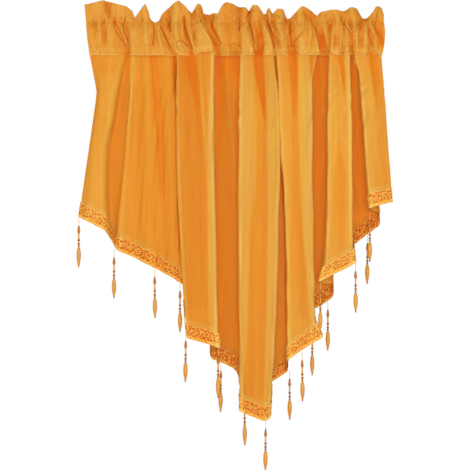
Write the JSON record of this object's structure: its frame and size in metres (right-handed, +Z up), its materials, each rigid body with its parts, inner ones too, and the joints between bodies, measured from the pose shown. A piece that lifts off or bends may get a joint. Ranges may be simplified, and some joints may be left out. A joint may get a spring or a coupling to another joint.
{
  "type": "pointed sheer curtain",
  "caption": "Short pointed sheer curtain with a gathered rod-pocket heading, a standing ruffle, and a beaded lace braid along its V-shaped hem.",
  "frame": {"origin": "middle of the heading's upper stitch line, above the rod pocket", "axes": "+Z up, the front faces -Y, and +X is to the right as seen from the front"},
  "size_m": [0.4502, 0.0451, 0.6702],
  "materials": {
    "voile": "sheer plain-weave voile, soft sheen",
    "lace": "flat lace braid with small shiny flowers",
    "beads": "satin moulded beads on a thread"
  },
  "bodies": {
    "root": {"heading": "voile", "panel": "voile", "braid": "lace", "drop_01": "beads", "drop_02": "beads", "drop_03": "beads", "drop_04": "beads", "drop_05": "beads", "drop_06": "beads", "drop_07": "beads", "drop_08": "beads", "drop_09": "beads", "drop_10": "beads", "drop_11": "beads", "drop_12": "beads", "drop_13": "beads", "drop_14": "beads", "drop_15": "beads", "drop_16": "beads", "drop_17": "beads"}
  },
  "joints": []
}
